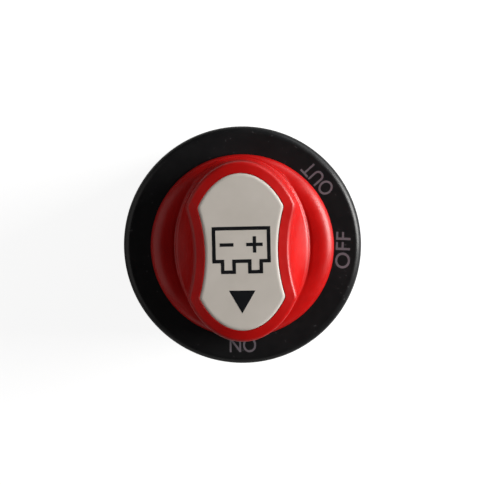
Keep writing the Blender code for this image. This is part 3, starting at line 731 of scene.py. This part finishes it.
def make_housing():
    """The base moulding: two chambers, one below and one above the deck, and the cable entries."""
    bottom, top, outer = extent("housing")
    inner, deck_low, deck_top = outer - WALL, high("flat_washer_load").z + 0.1, high("stud_load").z - 3.15
    middle, seam, floor = (bottom + top) / 2, 0.12, bottom + 2.8
    profile = [(outer * 0.5, top), (outer, top, 0.6), (outer, middle + 2 * seam)]
    profile += [(outer - seam, middle + seam), (outer, middle), (outer, bottom, 0.6), (outer * 0.5, bottom)]
    housing = turned("moulded_housing", profile, FINE, ring=False)
    cut(housing, rod("terminal_chamber", inner, bottom - 2, deck_low, FINE, edge=0.8))
    cut(housing, rod("contact_chamber", inner, deck_top, top + 2, FINE, edge=0.8))
    join(housing, *rods(MOUNT_BOSS, bottom, top, MOUNT_CIRCLE, MOUNT_ANGLES))
    join(housing, *rods(4.0, deck_top - 1, top, SCREW_CIRCLE + 1, SCREW_ANGLES))
    join(housing, rod("pivot_boss", 5.2, deck_top - 1, low("rotor").z + 3.0, edge=0.4))
    join(housing, *mirrored_blocks((13.2, 21.9, deck_top - 1), (15.2, 28.0, top), 0.25))  # detent posts
    for side in (-1, 1):
        at = (0, side * BACK_SCREW_Y)
        join(housing, rod("back_screw_boss", 3.1, floor, deck_low + 1, at=at, edge=0.3))
    join(housing, block("barrier", (-1.1, -BACK_SCREW_Y, floor), (1.1, BACK_SCREW_Y, deck_low + 1)))
    cut(housing, rod("pivot_hole", 3.3, deck_top + 0.2, 34, MIDDLE))
    cut(housing, band("gasket_groove", 31.0, 32.1, low("cover_gasket").z - 0.15, top + 1.5))
    for angle in SCREW_ANGLES:
        cut(housing, doorway("entry", ENTRY_HALF, ENTRY_INSIDE, angle))
        cut(housing, doorway("entry_edge", ENTRY_HALF + 0.5, outer - 0.45, angle))
    cut(housing, *rods(1.6, 31, top + 1, SCREW_CIRCLE, SCREW_ANGLES))
    cut(housing, *rods(MOUNT_HOLE, 1, top + 2, MOUNT_CIRCLE, MOUNT_ANGLES))
    for side in (-1, 1):
        cut(housing, rod("stud_hole", STUD_RADIUS + GAP, 23, 30, MIDDLE, (side * STUD_X, 0)))
        cut(housing, rod("back_screw_hole", 1.6, 3, 16, at=(0, side * BACK_SCREW_Y)))
    return piece(housing, "base", "body", "housing")


def make_back_cover():
    """The flat back with its locating rim, its countersinks and the marks of its ejector pins."""
    bottom, top, outer = extent("back_cover")
    thick = top / 2
    profile = [(outer * 0.5, thick), (outer, thick, 0.3), (outer, bottom, 0.4), (outer * 0.5, bottom)]
    cover = turned("moulded_back_cover", profile, FINE, ring=False)
    rim = band("back_rim", 28.6, 30.0, thick - 0.6, top, edge=0.3)
    for angle in SCREW_ANGLES:
        cut(rim, block("rim_gap", (20, -11.4, thick + 0.1), (34, 11.4, top + 3), turn=angle))
    cut(rim, *rods(MOUNT_BOSS + GAP, thick + 0.1, top + 3, MOUNT_CIRCLE, MOUNT_ANGLES))
    join(cover, rim)
    for angle in MOUNT_ANGLES:
        hole = [(1, 4), (MOUNT_HOLE, 4), (MOUNT_HOLE, 0.3), (2.6, -0.1), (1, -0.1)]
        cut(cover, turned("mount_hole", hole, SMALL, polar(MOUNT_CIRCLE, angle), False))
    for side in (-1, 1):
        seat = [(1, 4), (1.7, 4), (1.7, 1.8), (3.3, 0.15), (3.3, -1), (1, -1)]
        cut(cover, turned("screw_seat", seat, SMALL, (0, side * BACK_SCREW_Y), False))
    cut(cover, *rods(1.6, -1, 0.1, 15.0, range(0, 360, 60)))  # the ejector pins' marks
    cut(cover, band("ring_groove", 10.2, 10.8, -1, 0.25, edge=0.05))
    return piece(cover, "base", "body", "back_cover")


def make_top_cover():
    """The lid of the contact chamber, with the neck that guides the knob's shaft."""
    bottom, top, outer = extent("top_cover")
    neck_bore, hub_bore, step = SHAFT_RADIUS + 0.4, high("thrust_washer").x - WASHER_WIDTH, STEP_RADIUS
    flange, face, clip, ledge = bottom + 1.9, bottom + 3.8, centre("retaining_clip").z, bottom + 2.7
    profile = [(neck_bore, top, 0.35), (NECK_RADIUS, top, 0.6), (NECK_RADIUS, face, 0.5)]
    profile += [(step, face, 0.35), (step - 0.3, face - 0.9, 0.2), (step, face - 1.4, 0.2)]
    profile += [(step, flange, 0.3), (outer, flange, 0.35), (outer, bottom, 0.2)]
    profile += [(hub_bore, bottom, 0.2), (hub_bore, ledge, 0.2), (neck_bore, ledge, 0.2)]
    cover = turned("moulded_top_cover", profile, FINE)
    for angles, reach, bore, seat in (
        (MOUNT_ANGLES, MOUNT_CIRCLE, MOUNT_HOLE, 4.1),
        (SCREW_ANGLES, SCREW_CIRCLE, 1.7, 3.2),
    ):
        cut(cover, *rods(bore, 41, 48, reach, angles), *rods(seat, flange - 0.2, 48, reach, angles))
    for side in (-1, 1):
        leg = side * (high("retaining_clip").y - 0.6)
        cut(cover, block("clip_slot", (-14, leg - 0.8, clip - 0.8), (14, leg + 0.8, clip + 0.8)))
    return piece(cover, "base", "body", "top_cover")


def make_gasket():
    """The rubber ring in its groove under the lid."""
    bottom, top, outer = extent("cover_gasket")
    ring = band("rubber_gasket", outer - 0.7, outer, bottom, top, edge=0.3)
    return piece(ring, "base", "rubber", "cover_gasket")


def recess(at, width, deep, shallow):
    """A Phillips-like recess between two heights: two crossed bars with narrowing ends."""
    bars = []
    for i in range(2):
        ends = []
        for height, reach, half in ((shallow, width, 0.42), (deep, width * 0.45, 0.3)):
            corners = [(-reach, -half), (reach, -half), (reach, half), (-reach, half)]
            if i:
                corners = [(-y, x) for x, y in corners]
            ends.append([(at[0] + x, at[1] + y, height) for x, y in corners])
        bars.append(skin("recess_bar", ends))
    return bars


def pan_screw(name, node, head_height, shank_radius, pitch, body, look):
    """A pan-head screw that points down, with a threaded shank and a cross recess."""
    where, (bottom, top, reach) = centre(node), extent(node)
    at, head = (where.x, where.y), reach - where.x
    seat, core = top - head_height, shank_radius * THREAD_CORE
    profile = [(head * 0.3, top), (head * 0.62, top - 0.05, 0.2)]
    profile += [(head * 0.93, top - head_height * 0.42, 0.5), (head, seat + 0.2, 0.2)]
    profile += [(head, seat, 0.1), (head * 0.3, seat)]
    screw = turned(name, profile, SMALL, at, ring=False)
    join(screw, thread("shank", core, shank_radius, pitch, bottom, seat + 0.4, SCREW_SIDES, at, tip=1.2))
    cut(screw, *recess(at, head * 0.55, top - head_height * 0.6, top + 0.3))
    return piece(screw, body, look, node)


def make_back_screw(name, node):
    """A countersunk screw that points up into the housing."""
    where, (bottom, top, reach) = centre(node), extent(node)
    at, head, shank = (where.x, where.y), reach - where.x, 1.4
    cone = bottom + 1.55
    profile = [(shank * 0.5, cone + 0.6), (shank, cone + 0.6), (shank, cone), (head, bottom + 0.15, 0.12)]
    profile += [(head - 0.2, bottom, 0.1), (shank * 0.5, bottom)]
    screw = turned(name, profile, SMALL, at, ring=False)
    start = cone + 0.3
    shaft = thread("shank", shank * THREAD_CORE, shank, 0.9, start, top, SCREW_SIDES)
    lift = Matrix.Translation((at[0] * MM, at[1] * MM, (start + top) * MM))
    shaft.data.transform(lift @ Matrix.Rotation(math.pi, 4, "X"))
    join(screw, shaft)
    cut(screw, *recess(at, 1.6, bottom + 0.8, bottom - 0.3))
    return piece(screw, "base", "zinc", node)


def make_stud(side):
    """A terminal stud: a flat contact head with rounded edges, and a threaded shank below the deck."""
    node = "stud_" + side
    (bottom, top, reach), x = extent(node), centre(node).x
    half_x, half_y = reach - x, high(node).y
    at, outer, pitch = (x, 0), STUD_RADIUS, 1.5
    stud = block("terminal_" + node, (x - half_x, -half_y, top - 3.0), (x + half_x, half_y, top), edge=0.8)
    join(stud, rod("collar", outer, bottom + 18.5, top - 1.5, MIDDLE, at))
    join(stud, thread("shank", outer - 0.62, outer, pitch, bottom + 0.8, bottom + 19.0, MIDDLE, at))
    end = [(1.5, bottom + 2), (outer - 0.7, bottom + 2), (outer - 1.4, bottom, 0.2), (1.5, bottom)]
    join(stud, turned("end", end, MIDDLE, at, ring=False))
    return piece(stud, "base", "tin", node)


def make_nut(side):
    """A hexagon nut, chamfered at both ends, with a countersunk bore."""
    node = "nut_" + side
    (bottom, top, reach), x = extent(node), centre(node).x
    flat, corner, bore, sides, steps = high(node).y, reach - x, STUD_RADIUS + 0.2, 144, 6
    face, chamfer, sixth = flat - 0.25, 0.9, TURN / 6

    def ring(share, end, inward):
        """A hexagon cut by the cone of the chamfer, at a share of the way down it from an end."""
        cone, height, points = face + (corner - face) * share, end + inward * chamfer * share**1.3, []
        for i in range(sides):
            angle = TURN * i / sides
            radius = min(flat / math.cos(angle % sixth - sixth / 2), cone)
            points.append((x - radius * math.sin(angle), radius * math.cos(angle), height))
        return points

    rings = [ring(i / steps, top, -1) for i in range(steps + 1)]
    rings += [ring(i / steps, bottom, 1) for i in range(steps, -1, -1)]
    nut = skin("hexagon_" + node, rings)
    mouth = bore + 1.6
    hole = [(2, top + 1), (mouth, top + 1), (bore, top - 0.6)]
    hole += [(bore, bottom + 0.6), (mouth, bottom - 1), (2, bottom - 1)]
    cut(nut, turned("bore", hole, MIDDLE, (x, 0), ring=False))
    return piece(nut, "base", "tin", node)


def make_flat_washer(side):
    node = "flat_washer_" + side
    (bottom, top, reach), x, bore = extent(node), centre(node).x, STUD_RADIUS + GAP
    outer = reach - x
    profile = [(bore, top, 0.25), (outer, top, 0.5), (outer, bottom, 0.2), (bore, bottom, 0.12)]
    return piece(turned("plated_" + node, profile, FINE, (x, 0)), "base", "tin", node)


def make_lock_washer(side):
    """A split washer: a square wire wound once round, its ends a little apart in height."""
    node = "lock_washer_" + side
    x, outer, bottom, top = centre(node).x, high(node).y, low(node).z, high(node).z
    bore, edge = STUD_RADIUS + GAP, 0.15
    thick, slit = (top - bottom) * 0.86, math.asin(0.7 / outer)
    rings = []
    for i in range(MIDDLE + 1):
        share = i / MIDDLE
        angle = -math.pi / 2 + slit + (TURN - 2 * slit) * share
        foot = bottom + (top - bottom - thick) * share
        head = foot + thick
        section = [(bore, foot + edge), (bore + edge, foot), (outer - edge, foot), (outer, foot + edge)]
        section += [(outer, head - edge), (outer - edge, head), (bore + edge, head), (bore, head - edge)]
        rings.append([(x + r * math.cos(angle), r * math.sin(angle), z) for r, z in section])
    return piece(skin("split_" + node, rings), "base", "spring", node)


def contact_tip(name, node, body, face):
    """A silver contact button whose working face, up or down, is slightly domed."""
    where, (bottom, top, reach) = centre(node), extent(node)
    radius = reach - where.x
    crown, rim = (top, bottom) if face > 0 else (bottom, top)
    dome = 0.14 * face
    profile = [(radius * 0.2, crown), (radius * 0.6, crown - dome * 0.4)]
    profile += [(radius - 0.35, crown - dome, 0.3), (radius, crown - dome - 0.25 * face, 0.15)]
    profile += [(radius, rim), (radius * 0.2, rim)]
    return piece(turned(name, profile, MIDDLE, (where.x, where.y), ring=False), body, "silver", node)


def make_entry_blank(node, direction):
    """The snap-in plate of an unused cable entry: a flange inside, and a panelled face outside."""
    bottom, top, outer = low(node).z, high(node).z, high("housing").x
    inner, mid = outer - WALL - 1.5, outer - WALL - GAP
    parts = []
    for part, inside, outside, foot, half in (
        ("blank_" + node, inner, outer - 0.1, bottom, ENTRY_HALF - GAP),
        ("flange", inner, mid, bottom, ENTRY_HALF + 1.6),
        ("panel", outer - 0.6, outer + 1, bottom + 1.6, ENTRY_HALF - 1.9),
    ):
        ring = band(part, inside, outside, foot, top, edge=0)
        parts.append(carve("INTERSECT", ring, doorway("door", half, ENTRY_INSIDE, direction)))
    plate, flange, panel = parts
    join(plate, flange)
    cut(plate, panel)
    return piece(plate, "base", "body", node)


def make_detent_spring(node, front):
    """A bowed leaf spring whose middle sits in the rotor's notch."""
    half = [(0.0, 17.9), (1.2, 18.6), (2.9, 20.15), (7.0, 20.8), (11.4, 21.3), (12.6, 22.2), (12.8, 24.0)]
    bottom, top, thick, edge = low(node).z, high(node).z, 0.4, 0.08
    knots = [(-x, y) for x, y in reversed(half[1:])] + half
    path = soften(knots, 6)
    rings = []
    for i, point in enumerate(path):
        along = (path[min(i + 1, len(path) - 1)] - path[max(i - 1, 0)]).normalized()
        side = Vector((-along.y, along.x)) * thick / 2
        mild = side * 0.6
        corners = [(side, bottom + edge), (side, top - edge), (mild, top), (-mild, top)]
        corners += [(-side, top - edge), (-side, bottom + edge), (-mild, bottom), (mild, bottom)]
        rings.append([(point.x + s.x, front * (point.y + s.y), z) for s, z in corners])
    return piece(skin("leaf_" + node, rings), "base", "spring", node)


def soften(knots, steps):
    """A smooth curve through plan points."""
    points = [Vector(knot) for knot in knots]
    points = [2 * points[0] - points[1]] + points + [2 * points[-1] - points[-2]]
    path = []
    for a, b, c, d in zip(points, points[1:], points[2:], points[3:]):
        for k in range(steps):
            t = k / steps
            square, cube = 2 * a - 5 * b + 4 * c - d, 3 * b - a - 3 * c + d
            path.append(0.5 * (2 * b + (c - a) * t + square * t**2 + cube * t**3))
    return path + [points[-2]]


def make_clip():
    """A hairpin of spring wire through the neck, whose legs sit in the groove of the knob's shaft."""
    node, radius, bend, steps = "retaining_clip", 0.6, 2.2, 10
    leg, z, start, cross = high(node).y - radius, centre(node).z, low(node).x, high(node).x - radius
    points = [(start, leg, z), (0.0, leg, z)]
    for side in (1, -1):
        for i in range(steps + 1):
            share = i / steps if side > 0 else 1 - i / steps
            x, y = polar(bend, 90 * (1 - share))
            points.append((cross - bend + x, side * (leg - bend + y), z))
    points += [(0.0, -leg, z), (start, -leg, z)]
    return piece(wire("wire_clip", points, radius), "base", "spring", node)


# The turning parts


def make_rotor():
    """The nylon carrier: plate with detent notches, hub, pivot pin and the lugs that hold the bar."""
    radius, top, bar_top = 19.0, high("rotor").z, high("contact_bridge").z
    plate_low, plate_top = high("detent_spring_front").z - 2.5, low("thrust_washer").z - 0.1
    rotor = rod("nylon_rotor", radius, plate_low, plate_top, FINE, edge=0.25)
    join(rotor, rod("hub", 9.0, plate_top - 1, top, MIDDLE, edge=0.4))
    join(rotor, rod("core", 5.5, bar_top + GAP, plate_low + 1, MIDDLE, edge=0.2))
    join(rotor, rod("pin", 3.0, low("rotor").z, bar_top + 1, edge=0.4))
    lug_y, spring_x = high("contact_bridge").y + GAP, centre("contact_spring_2").x
    join(rotor, *mirrored_blocks((7.0, lug_y, bar_top - 2.5), (13.0, 8.4, plate_low + 1), 0.2))  # lugs
    for side in (-1, 1):
        cut(rotor, rod("spring_pocket", 3.6, plate_low - 1.3, plate_low + 1.5, at=(side * spring_x, 0)))
    for middle in (90, 270):
        for turn in (0, 90, OUT_TURN):
            at = polar(radius + 0.9, middle - turn)
            cut(rotor, rod("notch", 2.4, plate_low - 1, plate_top + 2, at=at))
    half, floor = 4.2, plate_low + 0.3
    cut(rotor, block("drive_socket", (-half, -half, floor), (half, half, top + 2), turn=-OUT_TURN))
    return piece(rotor, "rotor", "nylon", "rotor")


def make_bridge():
    """The copper bar that joins the two studs at ON."""
    node = "contact_bridge"
    bar_made = block("copper_bridge", low(node), high(node), edge=0.6)
    cut(bar_made, rod("bar_hole", 3.4, low(node).z - 2, high(node).z + 2))
    return piece(bar_made, "rotor", "copper", node)


def make_coil(index):
    """A coil spring with closed ends between the bar and its pocket in the rotor."""
    node, gauge, turns, per_turn = f"contact_spring_{index}", 0.4, 4.5, 28
    where, bottom, top = centre(node), low(node).z + gauge, high(node).z - gauge
    reach = (high(node).x - low(node).x) / 2 - gauge
    points = []
    for i in range(round(turns * per_turn) + 1):
        turn = i / per_turn
        share = turn / turns
        climb = share - 0.10 * math.sin(TURN * share)
        x, y = polar(reach, 360 * turn)
        points.append((where.x + x, y, bottom + (top - bottom) * climb))
    return piece(wire("coil_" + node, points, gauge, 3), "rotor", "spring", node)


def make_thrust_washer():
    """The slippery washer under the lid, with four grease grooves."""
    node = "thrust_washer"
    bottom, top, outer = extent(node)
    washer = band("slip_washer", outer - WASHER_WIDTH, outer, bottom, top, edge=0.12)
    for angle in SCREW_ANGLES:
        near, far = (8, -0.5, top - 0.2), (outer - 1.2, 0.5, top + 1)
        cut(washer, block("grease_groove", near, far, turn=angle + 45))
    return piece(washer, "rotor", "ivory", node)


# The parts that lift off with the knob


def make_shaft():
    """The key shaft: key square, collar, seal groove, clip groove with flats, and drive square."""
    node = "knob_shaft"
    bottom, top, radius = low(node).z, high(node).z, SHAFT_RADIUS
    clip = centre("retaining_clip").z
    seal, collar, collar_top, collar_low = centre("shaft_o_ring").z, 8.2, top - 11.5, top - 13.0
    groove, key, drive = 4.55, 5.0, 4.0
    profile = [(4.0, collar_top), (collar, collar_top, 0.25)]
    profile += [(collar, collar_low, 0.25), (radius, collar_low)]
    grooves = (5.2, seal, 0.7, 0.12, 0.2), (groove, clip, 0.85, 0.2, 0.25)
    for depth, middle, half, mouth, corner in grooves:
        profile += [(radius, middle + half, mouth), (depth, middle + half, corner)]
        profile += [(depth, middle - half, corner), (radius, middle - half, mouth)]
    profile += [(radius, bottom + 6.1, 0.3), (4.0, bottom + 6.1)]
    shaft = turned("nylon_shaft", profile, MIDDLE, ring=False)
    for side in (-1, 1):
        ys = sorted((side * groove, side * 9.0))
        cut(shaft, block("flat", (-9, ys[0], bottom + 4), (9, ys[1], clip - 0.35), turn=-OUT_TURN))
    for half, foot, head in ((drive, bottom, bottom + 7), (key, top - 12.5, top)):
        join(shaft, block("square", (-half, -half, foot), (half, half, head), edge=0.35, turn=-OUT_TURN))
    cut(shaft, rod("screw_bore", 2.1, top - 9.5, top + 1.5))
    return piece(shaft, "knob", "shaft", node)


def make_o_ring():
    """The rubber ring in the shaft's seal groove, of round section."""
    node, section = "shaft_o_ring", 20
    thick = (high(node).z - low(node).z) / 2
    middle, height = high(node).x - thick, centre(node).z
    rings = []
    for i in range(section):
        angle = TURN * i / section
        rings.append(circle(middle + thick * math.cos(angle), height + thick * math.sin(angle), MIDDLE))
    return piece(skin("rubber_o_ring", rings, around=True), "knob", "rubber", node)


# Stage, light and camera


def show_to_camera(tree, seen, lit, output):
    """The camera sees one shader, and all other light meets the other."""
    path = tree.nodes.new("ShaderNodeLightPath")
    mix = tree.nodes.new("ShaderNodeMixShader")
    tree.links.new(path.outputs["Is Camera Ray"], mix.inputs["Fac"])
    tree.links.new(lit.outputs[0], mix.inputs[1])
    tree.links.new(seen.outputs[0], mix.inputs[2])
    tree.links.new(mix.outputs[0], output.inputs["Surface"])


def make_floor():
    """White paper that the camera sees lit, and that throws little light back at the object."""
    bpy.ops.mesh.primitive_plane_add(size=6.0, location=(0, 0, -0.0002))
    floor = bpy.context.object
    floor.name = "floor"
    seen = Look("floor_paper", (0.3, 0.3, 0.3), 0.9)
    seen.surface({"Emission Color": (1, 1, 1, 1), "Emission Strength": 0.88})
    bounced = seen.add("ShaderNodeBsdfDiffuse", {"Color": (0.42, 0.42, 0.42, 1)})
    show_to_camera(seen.tree, seen.shader, bounced, seen.tree.nodes["Material Output"])
    floor.data.materials.append(seen.material)


def make_light(name, place, aim_height, size, power, colour):
    """A rectangular light that points at a height on the axis, in metres."""
    light = bpy.data.lights.new(name, "AREA")
    light.shape = "RECTANGLE"
    light.size, light.size_y = size
    light.energy = power
    light.color = colour
    lamp = new_object(name, light)
    lamp.location = place
    aim = Vector((0, 0, aim_height))
    lamp.rotation_euler = (aim - Vector(place)).to_track_quat("-Z", "Y").to_euler()


def make_world():
    """The floor's white behind the object, and a dim even light from all round."""
    world = bpy.data.worlds.new("studio")
    bpy.context.scene.world = world
    world.use_nodes = True
    tree = world.node_tree
    seen = tree.nodes["Background"]
    seen.inputs["Color"].default_value = (1, 1, 1, 1)
    seen.inputs["Strength"].default_value = 0.9
    lit = tree.nodes.new("ShaderNodeBackground")
    lit.inputs["Color"].default_value = (0.95, 0.97, 1.0, 1)
    lit.inputs["Strength"].default_value = 0.035
    show_to_camera(tree, seen, lit, tree.nodes["World Output"])


def make_camera():
    """Looks straight down on the face, leaning a little towards +Y."""
    distance, lean, side, roll = 0.422, math.radians(4.0), math.radians(0.64), math.radians(-1.2)
    aim = Vector((0.07, 0.97, high("bezel_ring").z)) * MM
    data = bpy.data.cameras.new("camera")
    data.lens = 108.3
    data.sensor_width = 36.0
    data.clip_start, data.clip_end = 0.01, 20.0
    camera = new_object("camera", data)
    turn = Matrix.Rotation(-lean, 4, "X") @ Matrix.Rotation(side, 4, "Y") @ Matrix.Rotation(roll, 4, "Z")
    camera.matrix_world = Matrix.Translation(aim) @ turn @ Matrix.Translation((0, 0, distance))
    bpy.context.scene.camera = camera


def make_studio():
    make_floor()
    make_world()
    make_light("window", (0.62, 0.13, 0.30), 0.06, (0.4, 0.36), 7.9, (1.0, 0.985, 0.965))
    make_light("low_window", (0.62, 0.10, 0.05), 0.06, (0.5, 0.34), 1.5, (0.93, 0.98, 1.0))
    make_light("corner_window", (0.40, 0.46, 0.10), 0.06, (0.4, 0.35), 1.1, (0.95, 0.98, 1.0))
    make_light("left_wall", (-0.55, 0.0, 0.36), 0.06, (0.8, 0.6), 0.85, (1.0, 0.97, 0.95))
    make_light("near_wall", (-0.1, -0.7, 0.1), 0.05, (0.9, 0.4), 0.6, (1.0, 0.98, 0.96))
    bpy.context.scene.view_settings.view_transform = "Standard"


def make_object():
    """Every piece of the switch, from the back to the front."""
    make_back_cover()
    make_housing()
    make_gasket()
    make_top_cover()
    make_bezel()
    make_ring_marks()
    for index in (1, 2):
        make_back_screw(f"countersunk_screw_{index}", f"back_cover_screw_{index}")
    for index in (1, 2, 3, 4):
        pan_screw(f"lid_screw_{index}", f"cover_screw_{index}", 2.0, 1.4, 1.0, "base", "zinc")
    for side in ("battery", "load"):
        make_stud(side)
        make_nut(side)
        make_flat_washer(side)
        make_lock_washer(side)
        contact_tip("silver_fixed_" + side, "fixed_contact_" + side, "base", 1)
    make_entry_blank("entry_blank_front", -90)
    make_entry_blank("entry_blank_rear", 90)
    make_detent_spring("detent_spring_front", -1)
    make_detent_spring("detent_spring_rear", 1)
    make_clip()
    make_rotor()
    make_bridge()
    for index in (1, 2):
        contact_tip(f"silver_moving_{index}", f"moving_contact_{index}", "rotor", -1)
        make_coil(index)
    make_thrust_washer()
    make_shaft()
    make_o_ring()
    pan_screw("knob_screw", "shaft_screw", 1.6, 1.9, 0.8, "knob", "zinc")
    make_knob()
    make_label()
    make_plate_print()


make_studio()
make_camera()
make_object()
